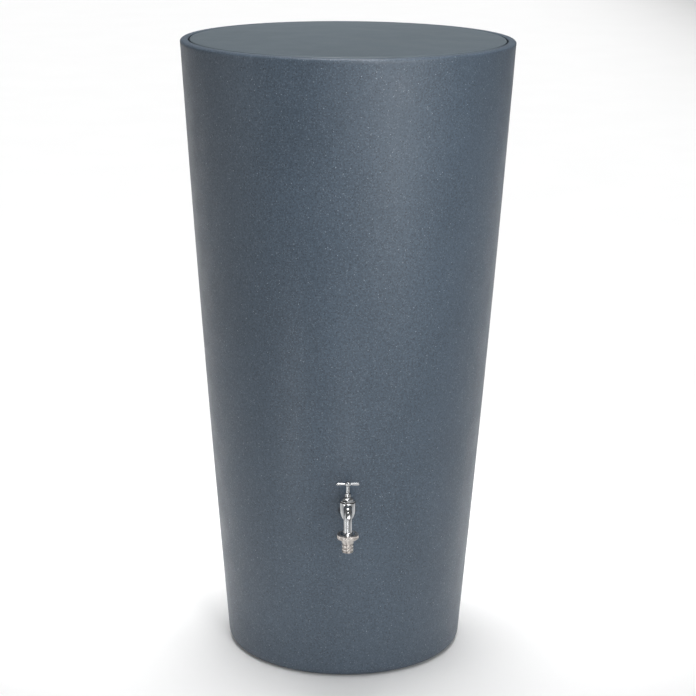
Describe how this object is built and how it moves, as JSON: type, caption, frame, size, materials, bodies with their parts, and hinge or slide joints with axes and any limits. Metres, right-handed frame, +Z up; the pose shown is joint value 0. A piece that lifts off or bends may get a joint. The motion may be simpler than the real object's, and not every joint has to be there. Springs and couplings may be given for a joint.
{
  "type": "rain barrel",
  "caption": "Tall tapered rain barrel in speckled grey plastic with a flush drop-in lid, a screw-down chrome tap with a hose union, and a hose inlet at the back.",
  "frame": {"origin": "on the barrel's axis, level with the ring that it stands on", "axes": "+Z up along the barrel's axis; -Y towards the tap; +Y towards the inlet at the back"},
  "size_m": [0.58, 0.6214, 1.1055],
  "materials": {
    "granite_plastic": "slate grey, moulded with a fine pale granite speckle, satin",
    "lid_plastic": "slate grey, fine even texture, satin",
    "chrome": "polished chrome plate on brass",
    "satin_nickel": "matt nickel plate on brass",
    "brass": "turned, bare",
    "black_rubber": "matt moulded",
    "fibre": "red vulcanised fibre, punched",
    "black_plastic": "moulded, fine satin texture"
  },
  "bodies": {
    "barrel": {"tank_shell": "granite_plastic", "tap_body": "chrome", "tap_outer_washer": "black_rubber", "tap_inner_washer": "black_rubber", "tap_back_nut": "brass", "bonnet": "chrome", "bonnet_washer": "fibre", "gland_nut": "chrome", "gland_packing": "black_rubber", "inlet_connector": "black_plastic", "inlet_outer_washer": "black_rubber", "inlet_inner_washer": "black_rubber", "inlet_back_nut": "black_plastic"},
    "lid": {"lid": "lid_plastic"},
    "valve": {"valve_jumper": "brass", "valve_washer": "black_rubber", "valve_washer_nut": "brass"},
    "handle": {"spindle": "chrome", "tee_handle": "chrome", "handle_screw": "chrome"},
    "hose_tail": {"hose_tail": "satin_nickel", "union_washer": "black_rubber"},
    "union_nut": {"union_nut": "satin_nickel"}
  },
  "joints": [
    {"name": "lid_lift", "type": "slide", "parent": "barrel", "child": "lid", "axis": [0, 0, 1], "range_m": [0, 0.3]},
    {"name": "spindle_rise", "type": "slide", "parent": "barrel", "child": "valve", "axis": [0, 0, 1], "range_m": [0, 0.005]},
    {"name": "tap_handle_turn", "type": "hinge", "parent": "valve", "child": "handle", "pos_m": [0, -0.26741, 0.3803], "axis": [0, 0, 1], "range_deg": [0, 721]},
    {"name": "union_drop", "type": "slide", "parent": "barrel", "child": "hose_tail", "axis": [0, 0, -1], "range_m": [0, 0.00363]},
    {"name": "union_nut_turn", "type": "hinge", "parent": "hose_tail", "child": "union_nut", "pos_m": [0, -0.29241, 0.296], "axis": [0, 0, -1], "range_deg": [0, 721]}
  ],
  "couplings": [
    {"joint": "tap_handle_turn", "follows": "spindle_rise", "rad_per_m": 2513.3},
    {"joint": "union_nut_turn", "follows": "union_drop", "rad_per_m": 3463.7}
  ]
}
